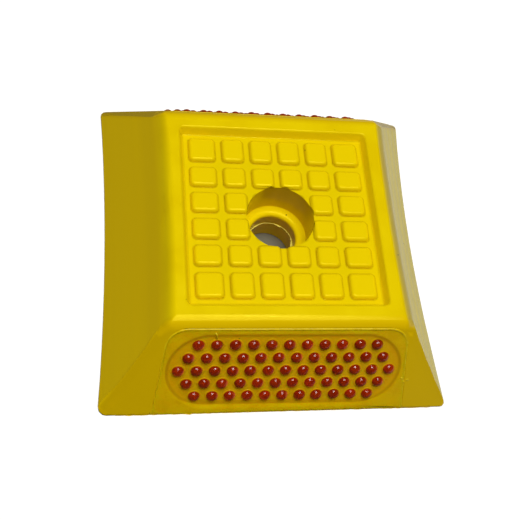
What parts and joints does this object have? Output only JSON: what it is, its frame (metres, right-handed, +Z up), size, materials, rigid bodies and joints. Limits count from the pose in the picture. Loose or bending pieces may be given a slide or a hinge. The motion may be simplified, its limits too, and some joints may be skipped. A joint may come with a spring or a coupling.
{
  "type": "reflective road stud",
  "caption": "Low pyramid-shaped yellow road stud with a treaded top, a counterbored hole for an anchor bolt and red glass bead reflectors facing both ways along the road.",
  "frame": {"origin": "centre of the base, on the road surface", "axes": "+X across the road, +Y along the road away from the front reflector, +Z up along the bolt hole"},
  "size_m": [0.0998, 0.1, 0.0255],
  "materials": {
    "body_plastic": "moulded gloss",
    "plate_plastic": "moulded gloss",
    "bead_glass": "clear red",
    "foil_mirror": "bright"
  },
  "bodies": {
    "root": {"stud_body": "body_plastic", "front_reflector_plate": "plate_plastic", "rear_reflector_plate": "plate_plastic", "front_mirror_foil": "foil_mirror", "rear_mirror_foil": "foil_mirror", "front_bead_row_1": "bead_glass", "front_bead_row_2": "bead_glass", "front_bead_row_3": "bead_glass", "front_bead_row_4": "bead_glass", "front_bead_row_5": "bead_glass", "rear_bead_row_1": "bead_glass", "rear_bead_row_2": "bead_glass", "rear_bead_row_3": "bead_glass", "rear_bead_row_4": "bead_glass", "rear_bead_row_5": "bead_glass"}
  },
  "joints": []
}
